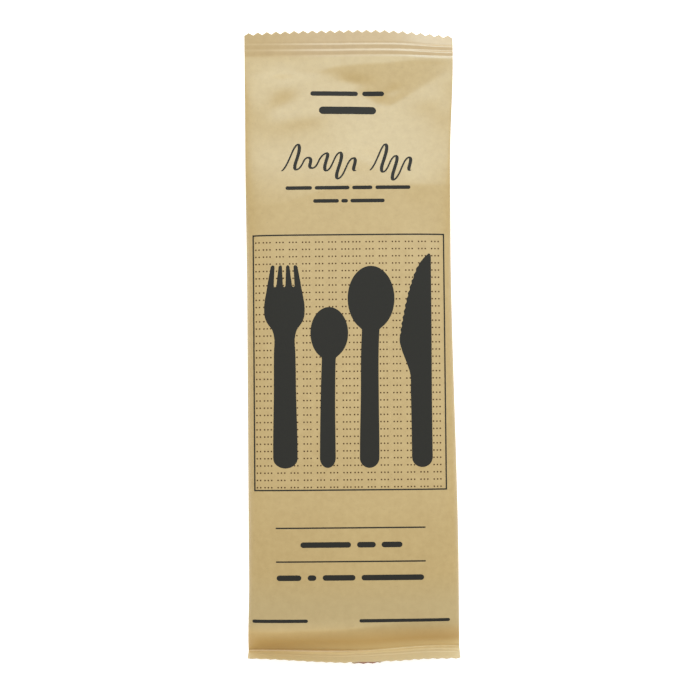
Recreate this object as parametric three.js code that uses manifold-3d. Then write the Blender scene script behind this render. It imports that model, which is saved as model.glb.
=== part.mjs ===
// A sealed pack of wooden cutlery: a sleeve of kraft paper round a fork, a spoon, a small spoon, a knife and a
// folded napkin. One sheet is folded into a tube, its two long edges are sealed back to back and the seam is laid
// flat on the back, and a heated jaw presses each end into a ribbed flat seal that a toothed knife cuts off.
// Nothing of the inside can be seen, so the pack is one solid. It lies on its back, face up. The cutlery has slid
// to its foot, so the seal there is bent up and the sleeve is slack at its head.
//
// Millimetres. +X is to the right of the printed face, +Y towards its top, +Z up from the table. The origin is at
// the middle of the pack, on the table. The sleeve is made with both seals level, and the foot's seal is bent up
// last. A place across the pack runs from -1 at its left side to 1 at its right, and a place along it is
// measured from where the foot ends once its seal is bent up.
import * as THREE from 'three';
import { mergeVertices } from 'three/addons/utils/BufferGeometryUtils.js';
import Module from 'manifold-3d';

const { clamp, degToRad, lerp, smoothstep } = THREE.MathUtils;

// The sleeve
const PACK_LENGTH = 230; // as it lies, from foot to head
const FLAT_WIDTH = 76.5; // the paper tube pressed flat, as it is in the end seals
const LEFT_PULL = 0.45; // the tube is drawn in from its flat width by these where the cutlery fills it
const RIGHT_PULL = 1.65;
const CROWN_HEIGHT = 9; // the highest part of the printed face over the table
const SIDE_SHARE = 0.42; // how far up its thickness the pack is widest
const SLACK_SHARE = 0.35; // and how much further up where it is slack
const FLAT_SHARE = 0.62; // this share of the back's half width is flat on the table

// The end seals
const SEAL_WIDTH = 9.5;
const SEAL_THICKNESS = 0.3; // two plies of coated paper, welded
const PLAIN_EDGE = 5.1; // from the teeth to the first rib
const RIB_PITCH = 2.2;
const RIB_HEIGHT = 0.21;
const EDGE_BOW = 1.1; // the corners of a cut edge are this far behind its middle
const TEETH = 23;
const TOOTH_DEPTH = 1;
const FOOT_CUT = 0.6; // the knife's cut at the foot is shallower, by this factor
const TRIM = 1.5; // the sheet stands past the teeth by this until the knife cuts it

// The foot's seal is bent up
const FIN_ANGLE = degToRad(72);
const FIN_TWIST = degToRad(6.5); // it is bent up further at the left and less far at the right, by this
const FIN_RADIUS = 1;
const FIN_HEIGHT = 1.2; // the seal's height over the table, before it bends
const FIN_STRAIGHT = SEAL_WIDTH - FIN_RADIUS * FIN_ANGLE;
// How far it reaches past its bend
const FIN_REACH = FIN_STRAIGHT * Math.cos(FIN_ANGLE) + FIN_RADIUS * Math.sin(FIN_ANGLE);

// The face
const FOOT_SHARE = 0.62; // how thick the pack is straight above the foot's fold, and how far on it is full
const FOOT_RISE = 52;
const SLACK_END = PACK_LENGTH - SEAL_WIDTH; // past the cutlery the sleeve slopes down to the head's seal
const HEAD_LIFT = 2.6; // which hangs this far over the table
const DENT_DEPTH = 2.3; // the hollow in the slack paper below the head's seal, and the point of its V
const DENT_POINT = [13.3, 201.6];

// The back seam, laid flat to the right
const SEAM_LEFT = -0.8; // where its fold is, beside the middle
const SEAM_WIDTH = 10.4;
const SEAM_THICKNESS = 0.3;
const SEAM_FADE = 8; // the paper beside the seam comes down to the table over this width

const COLUMNS = 40; // facets across the face

// From the middle to a side at a place.
function halfWidth(across, along) {
  const left = smoothstep(along, 8, 30) * (1 - smoothstep(along, 120, 225));
  const right = smoothstep(along, 30, 150) * (1 - smoothstep(along, 175, 224));
  return FLAT_WIDTH / 2 - (across < 0 ? LEFT_PULL * left : RIGHT_PULL * right);
}

// How full the sleeve is: 0 in the seals, a steep wall at the foot, 1 over the cutlery, and a long fall to the
// head.
function fullness(x, along) {
  const pastFold = along - FIN_REACH;
  const wall = 7.6 + 3.5 * smoothstep(x, -10, 28) - 0.6 * smoothstep(-x, 10, 34);
  const risen = 1 - (1 - clamp(pastFold / wall, 0, 1)) ** (1.45 + 0.25 * smoothstep(-x, 0, 30));
  const thick = lerp(FOOT_SHARE, 1, smoothstep(pastFold, 0, FOOT_RISE));
  const start = 165 + 7 * smoothstep(x, -30, 0);
  const ramp = clamp((along - start) / (SLACK_END - start), 0, 1);
  const straight = 0.15 + 0.45 * smoothstep(x, -28, 0);
  return risen * thick * (1 - lerp(smoothstep(ramp, 0, 1), ramp, straight));
}

// The middle of the back rises from the table to the seals. The head's seal is twisted: its left end tilts up, and
// its right end hangs down towards the table.
function backRise(x, along) {
  const toFoot = 1 - smoothstep(along, FIN_REACH, FIN_REACH + 12);
  const toHead = smoothstep(along, PACK_LENGTH - 5 * SEAL_WIDTH, SLACK_END);
  const hang = smoothstep(x, 12, 38);
  const inSeal = Math.max(along - SLACK_END, 0);
  const tilt = 0.2 - 0.12 * smoothstep(x, -38, 10);
  const hanging = (0.2 * inSeal + 0.16 * Math.max(along - PACK_LENGTH + PLAIN_EDGE, 0)) * hang;
  return FIN_HEIGHT * toFoot + (HEAD_LIFT + 0.8 * hang) * toHead + inSeal * tilt - hanging;
}

// How far the sides stand over the middle of the back: a share of the swell, and more of it at the head.
function sideRise(x, along) {
  const share = SIDE_SHARE + SLACK_SHARE * smoothstep(along, 140, 190) * smoothstep(Math.abs(x), 15, 35);
  return SEAL_THICKNESS / 2 + share * (CROWN_HEIGHT - SEAL_THICKNESS) * fullness(x, along);
}

// The hollow: it falls straight from the seal to a V-shaped crease, and comes back up to the face below it.
function dent(x, along) {
  const crease = DENT_POINT[1] + (x < DENT_POINT[0] ? 0.6 : 0.68) * (Math.hypot(x - DENT_POINT[0], 3) - 3);
  const top = SLACK_END - 3 * (1 - smoothstep(x, 10, 35));
  const steep = DENT_DEPTH / (top - DENT_POINT[1]);
  const below = (crease - along) / 25;
  const fall = below < 0 ? 1 - 1.4 * below : Math.max(1 - below, 0) ** 1.4;
  return steep * Math.min(Math.max(top - along, 0), Math.max(top - crease, 0) * fall);
}

// The jaw's ribs are leaning waves that both plies follow, from the plain edge to where the plies part. The jaw
// pressed less hard at the left, and hardest at the right.
function ribs(x, along) {
  const fromTeeth = Math.min(PACK_LENGTH - along, along - FIN_REACH + SEAL_WIDTH);
  const fromPly = smoothstep(fromTeeth, SEAL_WIDTH - 0.6, SEAL_WIDTH);
  const pressed = smoothstep(fromTeeth, PLAIN_EDGE - 0.9, PLAIN_EDGE) * (1 - fromPly);
  const phase = ((fromTeeth - PLAIN_EDGE) / RIB_PITCH) * 2 * Math.PI;
  const height = RIB_HEIGHT * (0.3 + 0.7 * smoothstep(x, -38, 0) + 0.35 * smoothstep(x, 20, 36));
  return ((pressed * height) / 2) * Math.sin(phase + 0.5 * Math.sin(phase));
}

// The seam holds the back up by its own thickness, and the paper beside it comes down again.
function seamLift(x) {
  const pastEdge = smoothstep(x, SEAM_LEFT + SEAM_WIDTH, SEAM_LEFT + SEAM_WIDTH + SEAM_FADE);
  return SEAM_THICKNESS * smoothstep(x, SEAM_LEFT - 2.5, SEAM_LEFT + 0.5) * (1 - pastEdge);
}

// The heights of the section at a place: the face is a dome whose shoulders get softer to the head, and the back
// is flat, and turns up to meet the face at the sides.
function heights(across, along) {
  const x = across * halfWidth(across, along);
  const full = fullness(x, along);
  const swell = (CROWN_HEIGHT - SEAL_THICKNESS) * full;
  const level = backRise(x, along) + ribs(x, along);
  const low = level + seamLift(x);
  const side = level + sideRise(x, along);
  const free = smoothstep(along, 155, 175) * (1 - smoothstep(along, SLACK_END - 3, SLACK_END + 0.5));
  const high = level + SEAL_THICKNESS + swell + seamLift(x) * (1 - full) - dent(x, along) * free;
  const power = 6 - 2.8 * smoothstep(along, 120, 170) * smoothstep(across, -0.5, 0.5);
  const dome = Math.sqrt(1 - Math.abs(across) ** power);
  const turn = Math.max(Math.abs(across) - FLAT_SHARE, 0) / (1 - FLAT_SHARE);
  return { level, face: lerp(side, high, dome), back: lerp(low, side, 1 - Math.sqrt(1 - turn ** 2)) };
}

// One closed section of the sleeve: over the face from left to right, and back under it, with the seam as a
// step.
function section(along) {
  const y = along - PACK_LENGTH / 2;
  const point = (across, z) => new THREE.Vector3(across * halfWidth(across, along), y, z);
  const columns = Array.from({ length: COLUMNS + 1 }, (_, i) => Math.sin(Math.PI * (i / COLUMNS - 0.5)));
  const facePoint = (across) => point(across, heights(across, along).face);
  const backPoint = (across) => point(across, heights(across, along).back);
  const seamEdge = (x) => {
    const across = x / halfWidth(x, along);
    return [backPoint(across), point(across, heights(across, along).level)];
  };
  const [leftEdge, rightEdge] = [seamEdge(SEAM_LEFT), seamEdge(SEAM_LEFT + SEAM_WIDTH)];
  const inner = columns.slice(1, -1).reverse();
  return [
    ...columns.map(facePoint),
    ...inner.filter((across) => across * FLAT_WIDTH > 2 * (SEAM_LEFT + SEAM_WIDTH) + 1).map(backPoint),
    ...rightEdge,
    ...leftEdge.reverse(),
    ...inner.filter((across) => across * FLAT_WIDTH < 2 * SEAM_LEFT - 1).map(backPoint),
  ];
}

// The sections' places, close together where the paper bends: in the ribbed seals, on the wall at the foot and
// in the slack paper.
function stations() {
  const spread = (from, to, count) => Array.from({ length: count }, (_, i) => lerp(from, to, i / count));
  return [
    ...spread(FIN_REACH - SEAL_WIDTH - TRIM, FIN_REACH, 16),
    ...spread(FIN_REACH, FIN_REACH + 12, 10),
    ...spread(FIN_REACH + 12, FIN_REACH + FOOT_RISE, 6),
    ...spread(FIN_REACH + FOOT_RISE, 165, 6),
    ...spread(165, SLACK_END, 22),
    ...spread(SLACK_END, PACK_LENGTH + TRIM, 16),
    PACK_LENGTH + TRIM,
  ];
}

// A closed solid through sections of equally many points, with a flat cap at either end.
function loft(sections) {
  const ring = sections[0].length;
  const index = [];
  for (let row = 0; row < sections.length - 1; row++) {
    for (let i = 0; i < ring; i++) {
      const here = row * ring + i;
      const next = row * ring + ((i + 1) % ring);
      index.push(here, next, here + ring, next, next + ring, here + ring);
    }
  }
  const last = (sections.length - 1) * ring;
  const outline = sections[0].map(({ x, z }) => new THREE.Vector2(x, z));
  for (const [a, b, c] of THREE.ShapeUtils.triangulateShape(outline, [])) {
    index.push(a, b, c, last + a, last + c, last + b);
  }
  const geometry = new THREE.BufferGeometry().setFromPoints(sections.flat());
  geometry.setIndex(index);
  return geometry;
}

// What the toothed knife takes off past the head. For the foot it is turned about.
function offcut(reach, depth, turn) {
  const edge = [];
  for (let i = 0; i <= 2 * TEETH; i++) {
    const across = i / TEETH - 1;
    const cut = EDGE_BOW * across ** 2 + (i % 2 ? 0 : TOOTH_DEPTH);
    edge.push(new THREE.Vector2((across * FLAT_WIDTH) / 2, -depth * cut));
  }
  const corner = new THREE.Vector2(FLAT_WIDTH / 2 + TRIM, 5 * TRIM);
  const outline = new THREE.Shape([...edge, corner, new THREE.Vector2(-corner.x, corner.y)]);
  const height = 4 * CROWN_HEIGHT;
  const slab = new THREE.ExtrudeGeometry(outline, { depth: height, bevelEnabled: false });
  return slab.translate(0, reach, -height / 2).rotateZ(turn);
}

const wasm = await Module();
wasm.setup();

function solid(geometry) {
  geometry.deleteAttribute('normal');
  geometry.deleteAttribute('uv');
  const merged = mergeVertices(geometry, 1e-4);
  return new wasm.Manifold(new wasm.Mesh({
    numProp: 3,
    vertProperties: new Float32Array(merged.attributes.position.array),
    triVerts: new Uint32Array(merged.index.array),
  }));
}

function surface(manifold) {
  const { vertProperties, triVerts } = manifold.getMesh();
  const geometry = new THREE.BufferGeometry();
  geometry.setAttribute('position', new THREE.BufferAttribute(vertProperties, 3));
  geometry.setIndex(new THREE.BufferAttribute(triVerts, 1));
  return geometry;
}

// Puts the flat sleeve's places where they lie. The head's right corner is drawn in, and the foot's seal is bent
// up round an arc, less sharply in the middle and less far at the right, and goes straight on from there.
function bend(geometry) {
  const places = geometry.attributes.position;
  for (let i = 0; i < places.count; i++) {
    const x = places.getX(i);
    const along = places.getY(i) + PACK_LENGTH / 2;
    const drawnIn = 1.1 * smoothstep(x, 14, 39) * smoothstep(along, 190, SLACK_END);
    const middle = 1 - smoothstep(Math.abs(x + 4), 6, 32);
    const foldedAt = 0.45 * smoothstep(-x, 0, 38) + 1.5 * smoothstep(x, 0, 30);
    const shift = foldedAt * (1 - smoothstep(along, FIN_REACH, 16)) - drawnIn;
    places.setY(i, places.getY(i) + shift);
    const past = FIN_REACH - along;
    if (past <= 0) continue;
    const radius = FIN_RADIUS + 0.7 * middle;
    const angle = Math.min(past / radius, FIN_ANGLE - FIN_TWIST * (2 * smoothstep(x, -38.5, 38.5) - 1));
    const straight = past - angle * radius;
    const inside = radius - (places.getZ(i) - FIN_HEIGHT);
    const bent = FIN_REACH - inside * Math.sin(angle) - straight * Math.cos(angle);
    places.setY(i, bent - PACK_LENGTH / 2 + shift);
    places.setZ(i, FIN_HEIGHT + radius - inside * Math.cos(angle) + straight * Math.sin(angle));
  }
  return geometry;
}

function sealedPack() {
  const sleeve = solid(loft(stations().map(section)));
  const headOffcut = solid(offcut(PACK_LENGTH / 2, 1, 0));
  const footOffcut = solid(offcut(PACK_LENGTH / 2 + SEAL_WIDTH - FIN_REACH, FOOT_CUT, Math.PI));
  const geometry = bend(surface(sleeve.subtract(headOffcut).subtract(footOffcut)));
  geometry.computeVertexNormals();
  const kraftPaper = new THREE.MeshStandardMaterial({ color: 0xc8ae7e, roughness: 0.6, metalness: 0 });
  const mesh = new THREE.Mesh(geometry, kraftPaper);
  mesh.name = 'sealed_pack';
  return mesh;
}

const group = new THREE.Group();
group.add(sealedPack());

export default group;
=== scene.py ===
import bpy
import numpy as np
from mathutils import Matrix, Vector


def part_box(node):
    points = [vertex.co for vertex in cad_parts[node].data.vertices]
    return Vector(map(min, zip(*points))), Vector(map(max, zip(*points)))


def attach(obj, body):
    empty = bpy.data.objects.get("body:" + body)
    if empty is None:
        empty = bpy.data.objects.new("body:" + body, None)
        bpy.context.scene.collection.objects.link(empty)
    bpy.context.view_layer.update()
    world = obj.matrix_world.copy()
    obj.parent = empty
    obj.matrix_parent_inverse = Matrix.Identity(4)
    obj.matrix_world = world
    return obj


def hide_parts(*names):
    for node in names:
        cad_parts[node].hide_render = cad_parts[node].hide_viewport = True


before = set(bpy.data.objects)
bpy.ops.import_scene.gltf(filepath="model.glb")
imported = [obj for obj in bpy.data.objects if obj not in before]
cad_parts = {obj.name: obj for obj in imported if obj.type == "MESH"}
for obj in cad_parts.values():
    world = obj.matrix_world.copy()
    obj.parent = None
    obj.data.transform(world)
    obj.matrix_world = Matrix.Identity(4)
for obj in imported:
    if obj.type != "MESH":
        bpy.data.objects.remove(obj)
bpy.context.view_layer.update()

# The sleeve: one sheet of kraft paper, coated inside so that it welds to itself, and folded into a tube
# round the cutlery. Heated jaws leave ribs across both ends, and a toothed knife cuts them. The cutlery
# has slid to the foot, so the seal there is bent up, and the head is slack and buckled.

# Sizes are in millimetres, and the frame is in metres. A place across the face runs from -1 at its left
# side to 1 at its right, and a place along it is measured from where the foot ends. The foot's seal is
# bent up last.
MM = 0.001
low_corner, high_corner = (np.array(corner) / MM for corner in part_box("sealed_pack"))
PACK_LENGTH = 2 * high_corner[1]
FLAT_WIDTH = high_corner[0] - low_corner[0]
LEFT_PULL = 0.45  # the tube is drawn in from its flat width by these where the cutlery fills it
RIGHT_PULL = 1.65
CROWN_HEIGHT = 9
SIDE_SHARE = 0.42  # how far up its thickness the pack is widest
SLACK_SHARE = 0.35  # and how much further up where it is slack
FLAT_SHARE = 0.62  # this share of the back's half width is flat on the table

SEAL_WIDTH = 9.5
SEAL_THICKNESS = 0.3
PLAIN_EDGE = 5.1  # from the teeth to the first rib
RIB_PITCH = 2.2
RIB_HEIGHT = 0.21
EDGE_BOW = 1.1  # the corners of a cut edge are this far behind its middle
TEETH = 23
TOOTH_DEPTH = 1
FOOT_CUT = 0.6  # the foot's bow and teeth are this share of the head's

FIN_ANGLE = np.radians(72)  # how far the foot's seal is bent up, and more by the twist at its left side
FIN_TWIST = np.radians(6.5)
FIN_RADIUS = 1.0
FIN_HEIGHT = 1.2  # of the seal's back where it starts to bend
FIN_REACH = FIN_RADIUS * np.sin(FIN_ANGLE) + (SEAL_WIDTH - FIN_RADIUS * FIN_ANGLE) * np.cos(FIN_ANGLE)
FIN_FADE = 12  # the back is down on the table this far past the fold

FOOT_WALL = 7.6  # how far past the fold the steep wall at the foot goes
FOOT_SHARE = 0.62  # how thick the pack is straight above that wall, and how far on it is full
FOOT_RISE = 52
SLACK_START = 165
SLACK_END = PACK_LENGTH - SEAL_WIDTH
HEAD_LIFT = 2.6
HEAD_PULL = 1.1  # the head's right corner is this far behind its place

HOLLOW_DEPTH = 2.3  # at the lowest point of its crease, which is at this x and this far along
HOLLOW_MIDDLE = 13.3
HOLLOW_LOW = 201.6
HOLLOW_ROUND = 3  # how wide the point of the crease is rounded
HOLLOW_FALL = 25  # how far below the crease the face is itself again, along a curve of this power
HOLLOW_POWER = 1.4

SEAM_LEFT = -0.8
SEAM_WIDTH = 10.4
SEAM_THICKNESS = 0.3
SEAM_FADE = 8
SEAM_STAIN = 115.1  # its end is browned from this far down from the pack's middle


def smoothstep(x, start, end):
    """0 before start, 1 past end, and 3t^2 - 2t^3 between, where t runs from 0 to 1."""
    t = np.clip((x - start) / (end - start), 0, 1)
    return t * t * (3 - 2 * t)


def mound(x, along, at, spread, turn):
    """A soft mound of height 1 at a place: e to the minus squared distance, in units of its spread."""
    cos, sin = np.cos(np.radians(turn)), np.sin(np.radians(turn))
    dx, dy = x - at[0], along - at[1]
    return np.exp(-(((dx * cos + dy * sin) / spread[0]) ** 2) - ((dy * cos - dx * sin) / spread[1]) ** 2)


def half_width(x, along):
    """From the middle to a side: half the flat width, less what that side is drawn in by, in smoothsteps."""
    left = smoothstep(along, 8, 30) * (1 - smoothstep(along, 120, 225))
    right = smoothstep(along, 30, 150) * (1 - smoothstep(along, 175, 224))
    return FLAT_WIDTH / 2 - np.where(x < 0, LEFT_PULL * left, RIGHT_PULL * right)


def fullness(x, along):
    """How far the plies stand apart: 0 in the seals, a steep wall at the foot, 1 over the cutlery, and a
    long fall to the head, part of it a straight ramp and the rest a smoothstep, the softer start at the
    left."""
    past_fold = along - FIN_REACH
    wall = FOOT_WALL + 3.5 * smoothstep(x, -10, 28) - 0.6 * smoothstep(-x, 10, 34)
    risen = 1 - (1 - np.clip(past_fold / wall, 0, 1)) ** (1.45 + 0.25 * smoothstep(-x, 0, 30))
    thick = FOOT_SHARE + (1 - FOOT_SHARE) * smoothstep(past_fold, 0, FOOT_RISE)
    start = SLACK_START + 7 * smoothstep(x, -30, 0)
    ramp = np.clip((along - start) / (SLACK_END - start), 0, 1)
    straight = 0.15 + 0.45 * smoothstep(x, -28, 0)
    return risen * thick * (1 - straight * ramp - (1 - straight) * smoothstep(ramp, 0, 1))


def back_rise(x, along):
    """The height of the middle of the back: on the table, and up to the seals at both ends. The head's seal
    twists: its left end tilts up and its right end hangs down towards the table."""
    to_foot = 1 - smoothstep(along, FIN_REACH, FIN_REACH + FIN_FADE)
    to_head = smoothstep(along, PACK_LENGTH - 5 * SEAL_WIDTH, SLACK_END)
    in_seal = np.maximum(along - SLACK_END, 0)
    past_ribs = np.maximum(along - PACK_LENGTH + PLAIN_EDGE, 0)
    hang = smoothstep(x, 12, 38)
    tilt = 0.2 - 0.12 * smoothstep(x, -38, 10)
    hanging = (0.2 * in_seal + 0.16 * past_ribs) * hang
    return FIN_HEIGHT * to_foot + (HEAD_LIFT + 0.8 * hang) * to_head + in_seal * tilt - hanging


def side_rise(x, along):
    """How far the sides stand over the middle of the back: a share of the swell, greater at the head."""
    share = SIDE_SHARE + SLACK_SHARE * smoothstep(along, 140, 190) * smoothstep(np.abs(x), 15, 35)
    return SEAL_THICKNESS / 2 + share * (CROWN_HEIGHT - SEAL_THICKNESS) * fullness(x, along)


def soft_least(first, second, softness):
    """The lesser of two heights, rounded where they cross: half of their sum less the root of their squared
    difference and a squared softness."""
    return (first + second - np.sqrt((first - second) ** 2 + softness**2)) / 2


def dent(x, along):
    """The three-cornered hollow below the head's seal: it falls straight from the seal to a V-shaped
    crease, and comes back up to the face below it along a power curve."""
    aside = np.sqrt((x - HOLLOW_MIDDLE) ** 2 + HOLLOW_ROUND**2) - HOLLOW_ROUND
    crease = HOLLOW_LOW + np.where(x < HOLLOW_MIDDLE, 0.6, 0.68) * aside
    top = SLACK_END - 3 * (1 - smoothstep(x, 10, 35))
    steep = HOLLOW_DEPTH / (top - HOLLOW_LOW)
    depth = steep * np.maximum(top - crease, 0)
    upper = steep * np.maximum(top - along, 0)
    below = (crease - along) / HOLLOW_FALL
    faded = np.maximum(1 - below, 0) ** HOLLOW_POWER
    lower = depth * np.where(below < 0, 1 - HOLLOW_POWER * below, faded)
    return np.maximum(soft_least(upper, lower, 0.12 + 0.8 * smoothstep(-x, -14, 2)), 0)


# Where the slack paper has buckled: the height, the place, the spread each way and the turn of each mound.
BUCKLES = [
    (0.65, (-34, 201.5), (22, 7), 0),
    (1.0, (-27, 197), (20, 18), 0),
    (-0.2, (-26, 188), (20, 8), 0),
    (0.65, (-25, 209.5), (6, 5), 20),
    (-0.65, (-24, 202), (6, 3.5), 30),
    (0.22, (-16, 197), (9, 3), 12),
    (-0.12, (-20, 214), (17, 1.8), 0),
    (-0.45, (2, 210.8), (5.5, 2.2), -8),
    (-0.3, (3.5, 206.5), (6, 3), -30),
    (-0.2, (16, 207.5), (3, 1.5), 25),
    (-0.2, (12.5, 203.5), (2, 1.5), 50),
    (0.5, (30, 204.5), (8, 4.5), 12),
    (0.6, (36, 199), (5, 5), -30),
    (0.4, (39, 211), (6, 4), 0),
    (0.3, (5, 181.5), (8, 4), -8),
    (0.3, (25, 171.5), (5, 6), 0),
]


def buckles(x, along):
    """What is added to the slack face: its mounds and dips, less the three-cornered hollow."""
    return sum(height * mound(x, along, *shape) for height, *shape in BUCKLES) - dent(x, along)


def ribs(x, along):
    """The jaw's ribs: a leaning sine wave across the seal, from the plain edge to where the plies part. The
    jaw pressed less hard at the left."""
    from_teeth = np.minimum(PACK_LENGTH - along, along - FIN_REACH + SEAL_WIDTH)
    pressed = smoothstep(from_teeth, PLAIN_EDGE - 0.9, PLAIN_EDGE)
    pressed = pressed * (1 - smoothstep(from_teeth, SEAL_WIDTH - 0.6, SEAL_WIDTH))
    phase = (from_teeth - PLAIN_EDGE) / RIB_PITCH * 2 * np.pi
    height = RIB_HEIGHT * (0.3 + 0.7 * smoothstep(x, -38, 0) + 0.35 * smoothstep(x, 20, 36))
    return pressed * height / 2 * np.sin(phase + 0.5 * np.sin(phase))


def seam_lift(x):
    """How far the folded seam holds the back up: its thickness over the seam, and less past its edge."""
    past_fold = smoothstep(x, SEAM_LEFT - 2.5, SEAM_LEFT + 0.5)
    past_edge = smoothstep(x, SEAM_LEFT + SEAM_WIDTH, SEAM_LEFT + SEAM_WIDTH + SEAM_FADE)
    return SEAM_THICKNESS * past_fold * (1 - past_edge)


def placed(across, along, z):
    """Puts a place of the flat sleeve where it lies. The head's right corner is drawn in, and the seal at
    the foot is bent up round an arc, less sharply in the middle and less far at the right, and then
    straight."""
    x = across * half_width(across, along)
    drawn_in = HEAD_PULL * smoothstep(x, 14, 39) * smoothstep(along, 190, SLACK_END)
    middle = 1 - smoothstep(np.abs(x + 4), 6, 32)
    radius = FIN_RADIUS + 0.7 * middle
    folded_at = 0.45 * smoothstep(-x, 0, 38) + 1.5 * smoothstep(x, 0, 30)
    folded_at = folded_at * (1 - smoothstep(along, FIN_REACH, 16))
    past = np.maximum(FIN_REACH - along, 0)
    turn = FIN_ANGLE - FIN_TWIST * (2 * smoothstep(x, -38.5, 38.5) - 1)
    angle = np.minimum(past / radius, turn)
    straight = past - angle * radius
    inside = radius - (z - FIN_HEIGHT)
    bent_along = FIN_REACH - inside * np.sin(angle) - straight * np.cos(angle)
    bent_z = FIN_HEIGHT + radius - inside * np.cos(angle) + straight * np.sin(angle)
    y = np.where(past > 0, bent_along, along) + folded_at - drawn_in - PACK_LENGTH / 2
    return np.stack([x, y, np.where(past > 0, bent_z, z)], axis=-1)


def face(across, along):
    """The printed face: (1 - |across|^power)^0.5, a dome with shoulders that get softer to the head, and
    its buckles."""
    x = across * half_width(across, along)
    full = fullness(x, along)
    swell = (CROWN_HEIGHT - SEAL_THICKNESS) * full
    low = back_rise(x, along) + ribs(x, along)
    side = low + side_rise(x, along)
    high = low + SEAL_THICKNESS + swell + seam_lift(x) * (1 - full)
    power = 6 - 2.8 * smoothstep(along, 120, 170) * smoothstep(across, -0.5, 0.5)
    dome = np.sqrt(np.maximum(1 - np.abs(across) ** power, 0))
    settled = SLACK_END - 3 - 6 * smoothstep(-x, 0, 14)
    free = smoothstep(along, 155, 175) * (1 - smoothstep(along, settled, SLACK_END + 0.5))
    return placed(across, along, side + (high - side + buckles(x, along) * free) * dome)


def back(across, along):
    """The back: flat on the table, lifted over the seam, and up in a quarter ellipse to meet the face."""
    x = across * half_width(across, along)
    low = back_rise(x, along) + ribs(x, along)
    side = low + side_rise(x, along)
    turn = np.maximum(np.abs(across) - FLAT_SHARE, 0) / (1 - FLAT_SHARE)
    low = low + seam_lift(x)
    return placed(across, along, low + (side - low) * (1 - np.sqrt(1 - turn**2)))


def toothed(across, along):
    """Draws the plain edges in to the knife's cut: a triangle wave of TEETH teeth on a shallow parabola."""
    cut = EDGE_BOW * across**2 + np.abs((across + 1) / 2 * TEETH % 1 - 0.5) * 2 * TOOTH_DEPTH
    to_head = np.clip((along - PACK_LENGTH + PLAIN_EDGE) / PLAIN_EDGE, 0, 1)
    to_foot = np.clip((FIN_REACH - SEAL_WIDTH + PLAIN_EDGE - along) / PLAIN_EDGE, 0, 1)
    return along + cut * (FOOT_CUT * to_foot - to_head)


def grid_faces(numbers):
    """The four corners of each cell of a grid of point numbers."""
    corners = numbers[:-1, :-1], numbers[:-1, 1:], numbers[1:, 1:], numbers[1:, :-1]
    return np.stack(corners, axis=-1).reshape(-1, 4)


def mesh_piece(name, points, faces):
    """A smooth mesh object, from points in millimetres and lists of corner numbers, with its slot."""
    mesh = bpy.data.meshes.new(name)
    mesh.from_pydata((points * MM).tolist(), [], faces)
    mesh.shade_smooth()
    piece = bpy.data.objects.new(name, mesh)
    bpy.context.scene.collection.objects.link(piece)
    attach(piece, "root")
    return piece


# The grid has four columns to a tooth, and more of them where the sides turn over.
even = np.linspace(-1, 1, 4 * TEETH + 1)
near_side = 1 - (even[1] - even[0]) * np.array([0.5, 0.2, 0.06])
ACROSS = np.sort(np.concatenate([even, near_side, -near_side]))
ALONG = np.concatenate([
    np.linspace(FIN_REACH - SEAL_WIDTH, FIN_REACH, 40)[:-1],
    np.linspace(FIN_REACH, FIN_REACH + FIN_FADE, 30)[:-1],
    np.linspace(FIN_REACH + FIN_FADE, SLACK_START, 150)[:-1],
    np.linspace(SLACK_START, SLACK_END, 100)[:-1],
    np.linspace(SLACK_END, PACK_LENGTH, 36),
])

across, along = np.meshgrid(ACROSS, ALONG)
along = toothed(across, along)
face_points = face(across, along)
back_points = back(across, along)
cut_edges = (face_points[[0, -1]] + back_points[[0, -1]]) / 2
face_points[[0, -1]] = cut_edges
rings = np.concatenate([face_points, back_points[:, -2:0:-1]], axis=1)
rows, ring = rings.shape[:2]
numbers = np.arange(rows * ring).reshape(rows, ring)
# The two plies end in one cut edge.
numbers[[0, -1], len(ACROSS) :] = numbers[[0, -1], len(ACROSS) - 2 : 0 : -1]
used, corners = np.unique(grid_faces(np.column_stack([numbers, numbers[:, 0]])), return_inverse=True)
sleeve = mesh_piece("sleeve", rings.reshape(-1, 3)[used], corners.reshape(-1, 4).tolist())
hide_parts("sealed_pack")

# The sheet laid out flat: round the tube one way and along it the other.
up_sheet = (ALONG - ALONG[0]) / (ALONG[-1] - ALONG[0])
sheet = np.stack(np.meshgrid(np.linspace(0, 1, ring + 1), up_sheet), axis=-1)
corners = grid_faces(np.arange(rows * (ring + 1)).reshape(rows, ring + 1)).ravel()
sleeve.data.uv_layers.new(name="OFBake").data.foreach_set("uv", sheet.reshape(-1, 2)[corners].ravel())


class Wire:
    """One output of a material's node. Python's operators on it add Math nodes."""

    def __init__(self, finish, socket):
        self.finish = finish
        self.socket = socket

    def math(self, operation, first, second):
        """What a Math node makes of two wires or numbers."""
        return self.finish.node("Math", {0: first, 1: second}, operation=operation)

    def __add__(self, other):
        return self.math("ADD", self, other)

    def __sub__(self, other):
        return self.math("SUBTRACT", self, other)

    def __rsub__(self, other):
        return self.math("SUBTRACT", other, self)

    def __mul__(self, other):
        return self.math("MULTIPLY", self, other)

    def __truediv__(self, other):
        return self.math("DIVIDE", self, other)

    __radd__ = __add__
    __rmul__ = __mul__


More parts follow.
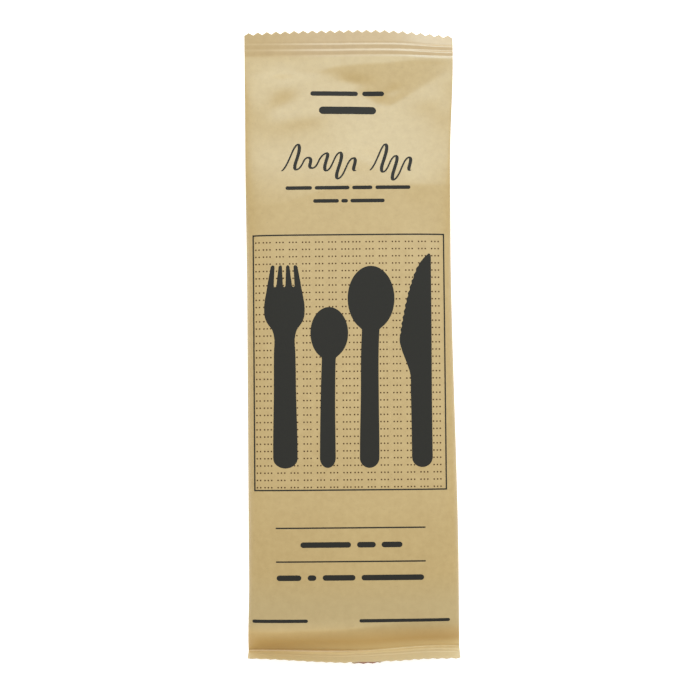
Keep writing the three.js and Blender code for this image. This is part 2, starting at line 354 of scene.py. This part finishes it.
class Finish:
    """A material, made node by node."""

    def __init__(self, name):
        self.material = bpy.data.materials.new(name)
        self.material.use_nodes = True
        self.tree = self.material.node_tree
        self.surface = self.tree.nodes["Principled BSDF"]
        self.place = self.node("TexCoord", {}, output="Object")

    def plug(self, socket, value):
        """Links a wire into a socket, or sets the socket's own value."""
        if isinstance(value, Wire):
            self.tree.links.new(value.socket, socket)
        else:
            socket.default_value = value

    def node(self, kind, inputs, output=0, stops=(), **settings):
        """Adds a node: its settings and a ramp's stops first, then its sockets. Gives one of its outputs."""
        made = self.tree.nodes.new("ShaderNode" + kind)
        for setting, value in settings.items():
            setattr(made, setting, value)
        for element, (position, shade) in zip(made.color_ramp.elements if stops else (), stops):
            element.position = position
            element.color = (shade, shade, shade, 1)
        for key, value in inputs.items():
            self.plug(made.inputs[key], value)
        return Wire(self, made.outputs[output])

    def noise(self, scale, detail=2, place=None, rough=0.5):
        """Clouds of noise from 0 to 1, about this many to a metre."""
        inputs = {"Vector": place or self.place, "Scale": scale, "Detail": detail, "Roughness": rough}
        return self.node("TexNoise", inputs)

    def fibres(self, turn, scale, length):
        """Noise drawn out to this many times its width along one direction of the sheet, as fibres lie."""
        inputs = {"Vector": self.place, "Rotation": (0, 0, np.radians(turn)), "Scale": (length, 1, 1)}
        return self.noise(scale, 1, self.node("Mapping", inputs, vector_type="TEXTURE"))

    def ramp(self, value, start, end):
        """0 up to start, 1 past end, and a straight line between."""
        return self.node("ValToRGB", {0: value}, stops=((start, 0), (end, 1)))

    def band(self, value, start, full, fade, end):
        """0 up to start, 1 from full to fade and 0 past end, with straight lines between."""
        return self.ramp(value, start, full) * (1 - self.ramp(value, fade, end))

    def blend(self, share, first, second):
        """A mix of two colours."""
        return self.node("Mix", {0: share, 6: first, 7: second}, output=2, data_type="RGBA")

    def bump(self, height, distance):
        """Tilts the surface as a relief of this height, whose full depth is distance metres."""
        return self.node("Bump", {"Height": height, "Distance": distance, "Strength": 1.0})

    def set(self, **values):
        """Sets the shader's sockets, whose names have spaces for underlines here."""
        for name, value in values.items():
            self.plug(self.surface.inputs[name.replace("_", " ")], value)


def colour(red, green, blue):
    """A linear colour from a screen colour of 0 to 255, by the screen's power of about 2.4."""
    screen = np.array([red, green, blue]) / 255
    linear = np.where(screen <= 0.04045, screen / 12.92, ((screen + 0.055) / 1.055) ** 2.4)
    return (*linear.tolist(), 1.0)


def kraft_paper():
    """Unbleached fibres, light and dark, lie every way over soft clouds where the pulp was uneven. Painted
    shade makes the wall above the foot's seal warmer and darker, browner to the right and darkest in the
    line of the fold but at the right, and a band above the wall darker and greyer; painted bounce light
    pales the wall's foot. Painted sheen pales both end seals, more to the right. Its ribs are polished at
    the head's right, and the glue has turned the cut end of the back seam at the foot brown."""
    paper = Finish("kraft_paper")
    clouds = paper.noise(420, 5, rough=0.65)
    drift = paper.noise(25, 1)
    light = paper.ramp(paper.fibres(17, 3400, 9) + paper.fibres(73, 3000, 8), 1.02, 1.3)
    dark = paper.ramp(paper.fibres(118, 3200, 9) + paper.fibres(160, 2800, 8), 1.02, 1.3)
    specks = paper.ramp(paper.noise(1500, 0), 0.76, 0.8)
    cloudy = paper.ramp(clouds * 0.75 + drift * 0.25, 0.35, 0.65)
    shade = paper.blend(cloudy, colour(186, 154, 95), colour(195, 164, 105))
    shade = paper.blend(light * 0.4, shade, colour(211, 186, 133))
    shade = paper.blend(dark * 0.4, shade, colour(163, 130, 76))
    shade = paper.blend(specks * 0.12, shade, colour(126, 98, 60))

    # Along the sheet, the foot's seal ends at 0.04 and the head's starts at 0.96. Round the tube, the face
    # runs from 0 to 0.5.
    sheet_place = paper.node("UVMap", {}, uv_map="OFBake")
    length = paper.node("SeparateXYZ", {0: sheet_place}, output="Y")
    round_tube = paper.node("SeparateXYZ", {0: sheet_place}, output="X")
    # Painted shade: the steep wall above the foot's seal warmer and darker, and browner to the right.
    painted_wall_shade = paper.band(length, 0.04, 0.044, 0.056, 0.08)
    shade = paper.blend(painted_wall_shade * 0.8, shade, colour(205, 163, 92))
    painted_wall_shade_right = painted_wall_shade * paper.ramp(round_tube, 0.28, 0.44)
    shade = paper.blend(painted_wall_shade_right * 0.35, shade, colour(168, 128, 72))
    # Painted shade: a darker, greyer band above the wall.
    painted_shade_above_wall = paper.band(length, 0.068, 0.085, 0.11, 0.16)
    shade = paper.blend(painted_shade_above_wall * 0.3, shade, colour(178, 158, 116))
    # Painted light: the foot of the wall paler, as the fin's bounce light leaves it, less at the face's left
    # edge.
    painted_bounce_light = paper.band(length, 0.04, 0.041, 0.044, 0.053) * (paper.ramp(round_tube, 0, 0.2) * 0.5 + 0.15)
    shade = paper.blend(painted_bounce_light, shade, colour(226, 199, 142))
    # Painted highlight: the foot's bent-up seal paler, more to the right.
    painted_fin_sheen = (paper.ramp(round_tube, 0.08, 0.25) * 0.2 + 0.27) * (1 - paper.ramp(length, 0.028, 0.04))
    shade = paper.blend(painted_fin_sheen, shade, colour(208, 190, 155))
    # Painted sheen: the head's seal paler and bluer, more to the right.
    painted_head_seal_sheen = paper.ramp(length, 0.958, 0.962) * (paper.ramp(round_tube, 0.04, 0.18) * 0.08 + 0.07)
    shade = paper.blend(painted_head_seal_sheen, shade, colour(240, 215, 205))
    # Painted shadow: the line of the foot's fold darker, but not at the right.
    painted_fold_shadow = paper.band(length, 0.0355, 0.037, 0.0402, 0.041) * (1 - paper.ramp(round_tube, 0.21, 0.32))
    shade = paper.blend(painted_fold_shadow * 0.72, shade, colour(168, 124, 62))

    up_pack = paper.node("SeparateXYZ", {0: paper.place}, output="Y")
    over_pack = paper.node("SeparateXYZ", {0: paper.place}, output="X")
    over_seam = (over_pack - SEAM_LEFT * MM) / (SEAM_WIDTH * MM)
    past_stain = up_pack / MM + SEAM_STAIN
    glued = paper.band(over_seam, 0, 0.3, 0.8, 1) * (1 - paper.ramp(past_stain, 0, 0.5))
    shade = paper.blend(glued, shade, colour(146, 70, 28))

    relief = clouds * 0.5 + light * 0.5 - dark * 0.3
    polished = paper.ramp(length, 0.958, 0.96) * (1 - paper.ramp(length, 0.976, 0.98))
    roughness = 0.47 - light * 0.05 - polished * paper.ramp(round_tube, 0.28, 0.42) * 0.17
    paper.set(Base_Color=shade, Roughness=roughness, Normal=paper.bump(relief, 0.00002))
    paper.set(Specular_IOR_Level=1, Specular_Tint=(0.7, 0.9, 1, 1))
    return paper.material


kraft = kraft_paper()
sleeve.data.materials.append(kraft)

# The back seam: the sheet's two long edges, welded face to face between crimping wheels into a strip of two
# plies, which is laid flat to the right and caught in both end seals.

CRIMP_PITCH = 1.4
CRIMP_HEIGHT = 0.08
in_strip = (even > SEAM_LEFT * 2 / FLAT_WIDTH) & (even < (SEAM_LEFT + SEAM_WIDTH) * 2 / FLAT_WIDTH)
strip_edges = np.array([SEAM_LEFT, SEAM_LEFT + SEAM_WIDTH]) * 2 / FLAT_WIDTH
strip_across = np.sort(np.concatenate([strip_edges, even[in_strip]]))
strip_along = np.linspace(FIN_REACH - SEAL_WIDTH, PACK_LENGTH, 660)
across, along = np.meshgrid(strip_across, strip_along)
along = toothed(across, along)
x = across * half_width(across, along)
low = back_rise(x, along) + ribs(x, along)
crimp = CRIMP_HEIGHT * (0.5 + 0.5 * np.sin(along / CRIMP_PITCH * 2 * np.pi))
inner = (across > strip_across[0]) & (across < strip_across[-1])
under = placed(across, along, low + np.where(inner, crimp, SEAM_THICKNESS * 0.3))
over = placed(across, along, low + SEAM_THICKNESS * np.where(inner, 0.95, 0.7))
rings = np.concatenate([over, under[:, ::-1]], axis=1)
rows, ring = rings.shape[:2]
numbers = np.arange(rows * ring).reshape(rows, ring)
faces = grid_faces(np.column_stack([numbers, numbers[:, 0]])).tolist()
half = ring // 2
head_end = numbers[-1, :half], numbers[-1, : half - 1 : -1]
foot_end = numbers[0, : half - 1 : -1], numbers[0, :half]
faces += [*grid_faces(np.stack(head_end)).tolist(), *grid_faces(np.stack(foot_end)).tolist()]
back_seam = mesh_piece("back_seam", rings.reshape(-1, 3), faces)
back_seam.data.materials.append(kraft)

# The print: one dark ink, put on the flat sheet by a soft plate before the sheet was folded. Each part of
# it is a thin layer that follows the paper, and the paper's grain shows faintly through it.

PRINT_MIDDLE = -0.42  # from the face's middle to the print's
INK_LIFT = 0.04
INK_STEP = 0.5  # the print follows the paper in steps of about this


def print_ink(name, dark, pale):
    """Flat ink that has soaked in, with a soft mottle where the plate pressed less."""
    ink = Finish(name)
    clouds = ink.noise(700, 4)
    shade = ink.blend(clouds, dark, pale)
    ink.set(Base_Color=shade, Roughness=0.55 + clouds * 0.2, Normal=ink.bump(clouds, 0.00002))
    ink.set(Specular_IOR_Level=0.25)
    return ink.material


ink = print_ink("print_ink", colour(33, 31, 26), colour(42, 40, 33))


def on_paper(x, y):
    """Lays points of the print, x right of its middle and y up from the face's, on the paper as it lies."""
    x = x + PRINT_MIDDLE
    along = y + PACK_LENGTH / 2
    return face(x / half_width(x, along), along) + [0, 0, INK_LIFT]


def printed(name, patches):
    """A piece of print from patches, each a grid of x and of y, x growing along its rows and y up them."""
    points, faces, count = [], [], 0
    for x, y in patches:
        faces.append(grid_faces(np.arange(x.size).reshape(x.shape)) + count)
        points.append(on_paper(x, y).reshape(-1, 3))
        count += x.size
    piece = mesh_piece(name, np.concatenate(points), np.concatenate(faces).tolist())
    piece.data.materials.append(ink)
    return piece


def steps(start, end):
    """Places from start to end, about INK_STEP apart."""
    return np.linspace(start, end, max(2, round((end - start) / INK_STEP) + 1))


def rectangle(left, right, low, high):
    """A filled rectangle, as one patch."""
    return np.meshgrid(steps(left, right), steps(low, high))


def between(left, right, y, columns=12):
    """A patch whose rows run from a left to a right edge, each given for every y."""
    x = left[:, None] + (right - left)[:, None] * np.linspace(0, 1, columns)
    return x, np.broadcast_to(y[:, None], x.shape)


def rounded(share):
    """The quarter circle by which an outline closes: 0 at share 0, and 1, level, from share 1 on."""
    return np.sqrt(1 - (1 - np.clip(share, 0, 1)) ** 2)


def crowded(low, high, count):
    """Places from low to high that crowd towards both, as the cosine of even angles, for round ends."""
    return (low + high) / 2 - (high - low) / 2 * np.cos(np.linspace(0, np.pi, count))


def curve_through(y, knots):
    """A curve through (y, x) knots: a cubic between each two, with its slope at a knot that of the chord
    from the knot before it to the knot after it."""
    at, value = np.array(knots, dtype=float).T
    slope = np.gradient(value, at)
    i = np.clip(np.searchsorted(at, y) - 1, 0, len(at) - 2)
    gap = at[i + 1] - at[i]
    t = (y - at[i]) / gap
    start = (1 + 2 * t) * (1 - t) ** 2 * value[i] + t * (1 - t) ** 2 * gap * slope[i]
    return start + t * t * (3 - 2 * t) * value[i + 1] + t * t * (t - 1) * gap * slope[i + 1]


# The four pictures, of the spoon, the small spoon, the fork and the knife inside, are plain outlines filled
# with ink. Each is given as a left and a right edge for every y.

HANDLE_ROUND = 3.6  # from a handle's end to where it is full width
NECK_FILLET = 0.8


def spoon(end, tip, bowl_middle, bowl_half, centre, handle):
    """A spoon's edges: an elliptical bowl, a handle whose half width runs through knots and closes in a
    half ellipse, and where the two cross a fillet k: a square of what k is over their difference, by 4k."""
    y = np.concatenate([crowded(end, bowl_middle, 90)[:-1], crowded(bowl_middle, tip, 50)[25:]])
    y = np.sort(np.concatenate([y, np.linspace(bowl_middle, tip - 1.5, 25)[1:-1]]))
    bowl = bowl_half * np.sqrt(np.maximum(1 - ((y - bowl_middle) / (tip - bowl_middle)) ** 2, 0))
    stem = curve_through(y, handle) * rounded((y - end) / HANDLE_ROUND) * (y < bowl_middle)
    fillet = np.maximum(NECK_FILLET - np.abs(stem - bowl), 0) ** 2 / (4 * NECK_FILLET)
    half = np.maximum(stem, bowl) + fillet * (y < bowl_middle)
    half[0] = 0
    middle = curve_through(y, centre)
    return middle - half, middle + half, y


SPOON = spoon(-45.4, 27.5, 15.7, 8.45, [(-46, 6.65), (-20, 6.95), (-3, 7.15), (7, 7.6), (28, 7.75)],
              [(-46, 3.5), (-38, 3.5), (-20, 3.25), (0, 3.15), (28, 3.1)])
MINI_SPOON = spoon(-45.3, 12.7, 3.3, 6.8, [(-46, -8.4), (-20, -8.15), (-9, -7.85), (-2, -7.55), (13, -7.5)],
                   [(-46, 2.85), (-38, 2.8), (-20, 2.6), (-8, 2.5), (13, 2.4)])
printed("print_spoon", [between(*SPOON)])
printed("print_mini_spoon", [between(*MINI_SPOON)])

FORK_MIDDLE = -23.65
FORK_END = -45.4
FORK_TIP = 28
TINE_ROUND = 0.75
SLOT_FLOOR = 20.1
SLOT_ROUND = 0.6
FORK_HALF = [(-46, 4.4), (-37, 4.4), (-20, 4.05), (-4, 3.9), (2, 3.8), (4.6, 4.5), (7.2, 6.3), (9.6, 7.2),
             (12, 7.35), (20, 6.2), (28, 4.75)]
FORK_NECK = 2
y = np.concatenate([crowded(FORK_END, FORK_NECK, 60)[:-1], np.linspace(FORK_NECK, SLOT_FLOOR, 40)])
half = curve_through(y, FORK_HALF) * rounded((y - FORK_END) / HANDLE_ROUND)
FORK = FORK_MIDDLE - half, FORK_MIDDLE + half, y
# Three slots leave four tines. A slot is wider and nearer to the middle at the tips than at its round
# floor.
y = crowded(SLOT_FLOOR, FORK_TIP, 34)
up = (y - SLOT_FLOOR) / (FORK_TIP - SLOT_FLOOR)
outer = curve_through(y, FORK_HALF)
slot_half = (0.46 + 0.3 * up) * rounded((y - SLOT_FLOOR) / SLOT_ROUND)
slot_middle = 3.35 - 0.7 * up
inner = slot_middle - slot_half
tines = []
for left, right in [(-outer, -slot_middle - slot_half), (-inner, -slot_half), (slot_half, inner),
                    (slot_middle + slot_half, outer)]:
    half = (right - left) / 2 * rounded((FORK_TIP - y) / TINE_ROUND)
    middle = FORK_MIDDLE + (left + right) / 2
    tines.append(between(middle - half, middle + half, y, 4))
printed("print_fork", [between(*FORK), *tines])

KNIFE_END = -45.3
KNIFE_TIP = 31.9
TIP_ROUND = 1.3
SAW_PITCH = 2.2
SAW_DEPTH = 0.42
SAW_END = 29
to_tip = SAW_END + (KNIFE_TIP - SAW_END) * rounded(np.linspace(0, 1, 30))
y = np.concatenate([crowded(KNIFE_END, 0, 50)[:-1], np.linspace(0, SAW_END, 150)[:-1], to_tip])
blade = curve_through(y, [
    (-46, 22), (-36, 21.95), (-18, 21.75), (-11, 21.5), (-8, 20.5), (-3, 18.7), (0, 17.95),
    (4, 18.4), (10, 19.5), (17, 21.1), (23, 23), (28, 25.2), (31.9, 28.4),
])
saw = smoothstep(y, 1, 3) * (1 - smoothstep(y, SAW_END - 1, SAW_END)) * SAW_DEPTH
blade = blade - saw * (np.abs(y / SAW_PITCH % 1 - 0.5) * 2 - 0.5)
spine = curve_through(y, [(-46, 29.45), (-20, 29.4), (0, 29.5), (32, 29.55)])
handle_half = (spine - blade) / 2 * rounded((y - KNIFE_END) / HANDLE_ROUND)
tip = rounded((KNIFE_TIP - y) / TIP_ROUND)
left = (spine + blade) / 2 - handle_half
right = left + 2 * handle_half - 0.7 * (1 - tip)
KNIFE = left + 0.6 * (right - left) * (1 - tip), right, y
printed("print_knife", [between(*KNIFE)])

# The frame round the pictures, and its ground of small dots in threes, which stops at the pictures' edges.
# The dots took so little ink that the paper's brown shows in it.

FRAME_LEFT = -34.85  # at the middle of its line
FRAME_RIGHT = 34.3
FRAME_LOW = -53.3
FRAME_HIGH = 38.9
HALF_LINE = 0.25
across_frame = FRAME_LEFT - HALF_LINE, FRAME_RIGHT + HALF_LINE
upright = FRAME_LOW + HALF_LINE, FRAME_HIGH - HALF_LINE
printed("print_frame", [
    rectangle(*across_frame, FRAME_HIGH - HALF_LINE, FRAME_HIGH + HALF_LINE),
    rectangle(*across_frame, FRAME_LOW - HALF_LINE, FRAME_LOW + HALF_LINE),
    rectangle(FRAME_LEFT - HALF_LINE, FRAME_LEFT + HALF_LINE, *upright),
    rectangle(FRAME_RIGHT - HALF_LINE, FRAME_RIGHT + HALF_LINE, *upright),
])

DOT_RADIUS = 0.3
DOT_SIDES = 8
DOT_PITCH = 1.21
GROUP_PITCH = 4.75
PLATE_PITCH = 32.5  # seven groups to a repeat of the plate, the last one set close to the next repeat
ROW_PITCH = 2.605
DOT_ROWS = 35
DOT_MARGIN = 0.7  # between the frame's line and the middle of a dot, at least
plates, groups, dots = np.meshgrid([-1, 0, 1], np.arange(7), np.arange(3))
dot_x = (-31.1 + plates * PLATE_PITCH + groups * GROUP_PITCH + dots * DOT_PITCH).ravel()
dot_x = dot_x[(dot_x > FRAME_LEFT + DOT_MARGIN) & (dot_x < FRAME_RIGHT - DOT_MARGIN)]
dot_y = FRAME_HIGH - 2.6 - ROW_PITCH * np.arange(DOT_ROWS)
dot_x, dot_y = (values.ravel() for values in np.meshgrid(dot_x, dot_y))
shown = np.ones(dot_x.shape, dtype=bool)
for left, right, y in (SPOON, MINI_SPOON, FORK, KNIFE):
    inside = (dot_x > np.interp(dot_y, y, left)) & (dot_x < np.interp(dot_y, y, right))
    shown &= ~(inside & (dot_y > y[0]) & (dot_y < y[-1]))
angles = np.arange(DOT_SIDES) / DOT_SIDES * 2 * np.pi
rim_x = dot_x[shown][:, None] + DOT_RADIUS * np.cos(angles)
rim_y = dot_y[shown][:, None] + DOT_RADIUS * np.sin(angles)
dot_faces = np.arange(rim_x.size).reshape(-1, DOT_SIDES).tolist()
dot_points = on_paper(rim_x, rim_y).reshape(-1, 3) - [0, 0, INK_LIFT / 3]
print_dots = mesh_piece("print_dots", dot_points, dot_faces)
print_dots.data.materials.append(print_ink("thin_ink", colour(70, 44, 8), colour(88, 58, 16)))

# Two rules below the pictures, and a plain round-ended bar in the place of each word, in lines above and
# below them.


def bar(left, right, low, tall):
    """A bar with half-round ends: columns from its lower to its upper edge, which meet at both ends."""
    along_bar = np.concatenate([
        left + tall / 2 * (1 - np.cos(np.linspace(0.05, np.pi / 2, 6)))[:-1],
        steps(left + tall / 2, right - tall / 2),
        right - tall / 2 * (1 - np.cos(np.linspace(np.pi / 2, 0.05, 6)))[1:],
    ])
    half = tall / 2 * rounded(np.minimum(along_bar - left, right - along_bar) / (tall / 2))
    y = low + tall / 2 + half * np.linspace(-1, 1, 5)[:, None]
    return np.broadcast_to(along_bar, y.shape), y


def words(name, low, tall, *spans):
    """A line of bars, one to a span from left to right."""
    return printed(name, [bar(left, right, low, tall) for left, right in spans])


words("print_rule_upper", -67.15, 0.5, (-27.4, 26.6))
words("print_rule_lower", -79.3, 0.5, (-27.4, 26.6))
words("print_heading_light", 90.5, 1.7, (-13.7, 3.7), (5.3, 13.3))
words("print_heading_bold", 83.6, 2.8, (-10.6, 10.3))
words("print_contents_upper", 55.4, 1.3, (-22.9, -13.3), (-12.3, 0.3), (1.3, 8.6), (9.7, 22.4))
words("print_contents_lower", 50.6, 1.3, (-12.9, -3.6), (-2.7, -0.3), (0.6, 13.0))
words("print_line_upper", -74.0, 2.0, (-18.5, -0.3), (1.9, 8.6), (10.7, 18.2))
words("print_line_lower", -85.9, 2.0, (-27.2, -18.3), (-16, -12.9), (-10.6, 1.2), (3.4, 25.9))
words("print_foot_line", -101.1, 1.2, (-36.2, -16.1), (2.5, 35.2))

# The flourish: two runs of plain pen waves, thick on their way down and thin on their way up, leaning to
# the right.

PEN_HALF = 0.3  # half the thin line's width, which a full stroke down doubles
PEN_BASE = 62.4
PEN_LEAN = 0.38


def pen_wave(start, end, waves, heights, depths):
    """A pen line in waves: a cosine wave from start to end whose tops and troughs run through knots, with
    steeper flanks by a sine, sheared by its lean. Its width follows the direction of the stroke."""
    turn = np.linspace(0, 2 * np.pi * waves, waves * 48)
    share = turn / turn[-1]
    up = 0.5 - 0.5 * np.cos(turn)
    rise = curve_through(share, heights) * up + curve_through(share, depths) * (1 - up)
    y = PEN_BASE + rise
    x = start + (end - start) * (share + 0.06 / waves * np.sin(2 * turn)) + PEN_LEAN * rise
    step_x, step_y = np.gradient(x), np.gradient(y)
    length = np.hypot(step_x, step_y)
    half = PEN_HALF * (1 + np.clip(-step_y / length, 0, 1))
    half = half * rounded(0.02 + np.minimum(share, 1 - share) * 8 * waves)
    edge = np.array([[-1.0], [0], [1]])
    return x - edge * step_y / length * half, y + edge * step_x / length * half


printed("print_flourish", [
    pen_wave(-24.5, 2.8, 5, [(0, 13.5), (0.2, 6.5), (0.4, 4.6), (0.6, 8), (0.8, 4.8), (1, 4.6)],
             [(0, 0), (0.6, 0), (0.8, -3), (1, 0)]),
    pen_wave(7.6, 22.8, 3, [(0, 13.5), (0.33, 6.5), (0.66, 5), (1, 4.6)],
             [(0, 0), (0.3, -0.4), (0.66, -3.6), (1, 0)]),
])

# The table is a plain white one lit from below as well, so that hardly a shadow shows. One large soft light
# stands beyond the head, a faint one stands at the right, and the room round them is pale.

REACH = 3.0
floor = bpy.data.objects.new("floor", bpy.data.meshes.new("floor"))
floor_corners = [(-REACH, -REACH, 0), (REACH, -REACH, 0), (REACH, REACH, 0), (-REACH, REACH, 0)]
floor.data.from_pydata(floor_corners, [], [(0, 1, 2, 3)])
bpy.context.scene.collection.objects.link(floor)
table = Finish("white_table")
table.set(Base_Color=(0.9, 0.9, 0.9, 1), Roughness=0.9, Emission_Color=(1, 1, 1, 1), Emission_Strength=0.6)
floor.data.materials.append(table.material)

world = bpy.data.worlds.new("room")
bpy.context.scene.world = world
world.use_nodes = True
background = world.node_tree.nodes["Background"].inputs
background["Color"].default_value = (1, 1, 1, 1)
background["Strength"].default_value = 0.545


def area_lamp(name, place, size, energy, color):
    """A soft rectangular lamp of this size, in metres, that points at the pack."""
    lamp = bpy.data.objects.new(name, bpy.data.lights.new(name, "AREA"))
    lamp.data.shape = "RECTANGLE"
    lamp.data.size, lamp.data.size_y = size
    lamp.data.energy = energy
    lamp.data.color = color
    bpy.context.scene.collection.objects.link(lamp)
    lamp.location = place
    lamp.rotation_euler = (-lamp.location).to_track_quat("-Z", "Y").to_euler()


area_lamp("lamp", (0.15, 1.42, 1.98), (3.6, 0.9), 65, (0.85, 0.95, 1))
area_lamp("side_lamp", (1.3, 0.35, 1.1), (0.9, 0.9), 0.5, (1, 1, 1))

# The camera looks down on the pack from about arm's length. It leans a little towards the foot and is
# turned a little, as one held by hand is.

DISTANCE = 0.6
TILT = 2.3
ROLL = 0.513
camera = bpy.data.objects.new("camera", bpy.data.cameras.new("camera"))
camera.data.sensor_width = 36
camera.data.lens = 84.75
aim = Vector((-0.00046, -0.002705, 0.004))
bpy.context.scene.collection.objects.link(camera)
turned = Matrix.Rotation(np.radians(TILT), 4, "X") @ Matrix.Rotation(np.radians(-ROLL), 4, "Z")
camera.matrix_world = Matrix.Translation(aim) @ turned @ Matrix.Translation((0, 0, DISTANCE))
bpy.context.scene.camera = camera
bpy.context.scene.view_settings.view_transform = "Standard"
